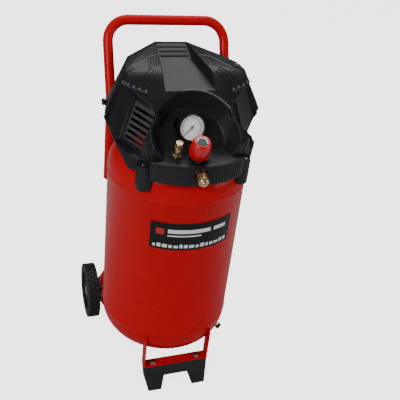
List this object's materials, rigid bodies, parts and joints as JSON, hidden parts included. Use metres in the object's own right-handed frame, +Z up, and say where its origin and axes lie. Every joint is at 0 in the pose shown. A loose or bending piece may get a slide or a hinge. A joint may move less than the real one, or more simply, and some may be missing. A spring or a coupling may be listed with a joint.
{
  "type": "air compressor",
  "caption": "Upright wheeled air compressor: vertical pressure tank with handle and foot, piston pump under a plastic hood, gauge, regulator and quick coupler.",
  "frame": {"origin": "on the floor under the middle of the machine's overall box", "axes": "+Z up, -Y towards the console and the front foot, +X to the machine's left-right direction, towards the right when facing the console"},
  "size_m": [0.3774, 0.436, 0.8789],
  "materials": {
    "red_paint": "glossy red baked enamel over steel",
    "hood_plastic": "fine-grained near-black moulded plastic",
    "rubber_black": "matt black rubber",
    "tyre_rubber": "black solid rubber tyre with tread blocks",
    "hub_plastic": "dark grey moulded plastic",
    "zinc": "bright zinc-plated steel",
    "steel": "bright ground steel",
    "brass": "turned pale brass",
    "aluminium": "die-cast aluminium",
    "copper": "bent copper tube, bare",
    "knob_red": "glossy red moulded plastic",
    "black_gloss": "black moulded plastic",
    "dial_white": "white printed dial",
    "lens": "clear flat window",
    "label_film": "black printed film"
  },
  "bodies": {
    "frame": {"tank_shell": "red_paint", "label_plate": "label_film", "handle_tube": "red_paint", "axle_rod": "steel", "axle_clip_left": "zinc", "axle_clip_right": "zinc", "wheel_bracket_left": "red_paint", "wheel_bracket_right": "red_paint", "foot_bracket": "red_paint", "rubber_foot": "rubber_black", "foot_bolt_left": "zinc", "foot_bolt_right": "zinc", "drain_valve_body": "brass", "hood_shell": "hood_plastic", "vent_grille_left": "hood_plastic", "vent_grille_right": "hood_plastic", "hood_screw_front_left": "zinc", "hood_screw_front_right": "zinc", "hood_screw_rear_left": "zinc", "hood_screw_rear_right": "zinc", "regulator_body": "black_gloss", "gauge_case": "black_gloss", "gauge_dial": "dial_white", "gauge_lens": "lens", "safety_valve_body": "brass", "outlet_nut": "zinc", "coupler_body": "brass", "pressure_switch": "black_gloss", "cable_gland": "rubber_black", "check_valve": "brass", "pump_platform": "steel", "rubber_mount_1": "rubber_black", "rubber_mount_2": "rubber_black", "rubber_mount_3": "rubber_black", "rubber_mount_4": "rubber_black", "crankcase": "aluminium", "motor_stator": "steel", "motor_bell_left": "aluminium", "motor_bell_right": "aluminium", "cylinder": "aluminium", "valve_plate": "steel", "cylinder_head": "aluminium", "intake_filter": "black_gloss", "discharge_tube": "copper", "run_capacitor": "aluminium"},
    "wheel_left": {"wheel_tyre_left": "tyre_rubber", "wheel_hub_left": "hub_plastic"},
    "wheel_right": {"wheel_tyre_right": "tyre_rubber", "wheel_hub_right": "hub_plastic"},
    "regulator_handle": {"regulator_knob": "knob_red", "knob_cap": "black_gloss"},
    "needle": {"gauge_needle": "black_gloss"},
    "outlet_sleeve": {"coupler_sleeve": "brass"},
    "valve_pull": {"safety_valve_pull": "brass"},
    "power_button": {"power_knob": "black_gloss"},
    "drain_handle": {"drain_knob": "black_gloss"},
    "motor_rotor": {"rotor_shaft": "steel", "cooling_fan": "black_gloss", "crank_disc": "steel"},
    "piston": {"piston_rod": "aluminium"}
  },
  "joints": [
    {"name": "wheel_left_spin", "type": "hinge", "parent": "frame", "child": "wheel_left", "pos_m": [-0.1722, 0.14001, 0.078], "axis": [1, 0, 0], "continuous": true},
    {"name": "wheel_right_spin", "type": "hinge", "parent": "frame", "child": "wheel_right", "pos_m": [0.1722, 0.14001, 0.078], "axis": [1, 0, 0], "continuous": true},
    {"name": "regulator_knob_turn", "type": "hinge", "parent": "frame", "child": "regulator_handle", "pos_m": [-0.003, -0.15649, 0.673], "axis": [0, -0.3584, 0.9336], "range_deg": [-720, 720]},
    {"name": "gauge_needle_sweep", "type": "hinge", "parent": "frame", "child": "needle", "pos_m": [-0.005, -0.11149, 0.718], "axis": [0, 0.9659, -0.2588], "range_deg": [0, 270]},
    {"name": "outlet_sleeve_slide", "type": "slide", "parent": "frame", "child": "outlet_sleeve", "axis": [0, 0.9135, 0.4067], "range_m": [0, 0.004], "stiffness_N_per_m": 600},
    {"name": "safety_valve_lift", "type": "slide", "parent": "frame", "child": "valve_pull", "axis": [0, -0.2588, 0.9659], "range_m": [0, 0.003], "stiffness_N_per_m": 900},
    {"name": "power_button_slide", "type": "slide", "parent": "frame", "child": "power_button", "axis": [-1, 0, 0], "range_m": [0, 0.005]},
    {"name": "drain_knob_turn", "type": "hinge", "parent": "frame", "child": "drain_handle", "pos_m": [0.12731, -0.09299, 0.111], "axis": [0.6824, -0.394, -0.6157], "range_deg": [0, 540]},
    {"name": "motor_spin", "type": "hinge", "parent": "frame", "child": "motor_rotor", "pos_m": [0, 0.02551, 0.741], "axis": [1, 0, 0], "continuous": true},
    {"name": "piston_slide", "type": "slide", "parent": "frame", "child": "piston", "axis": [0, 1, 0], "range_m": [-0.022, 0]}
  ]
}
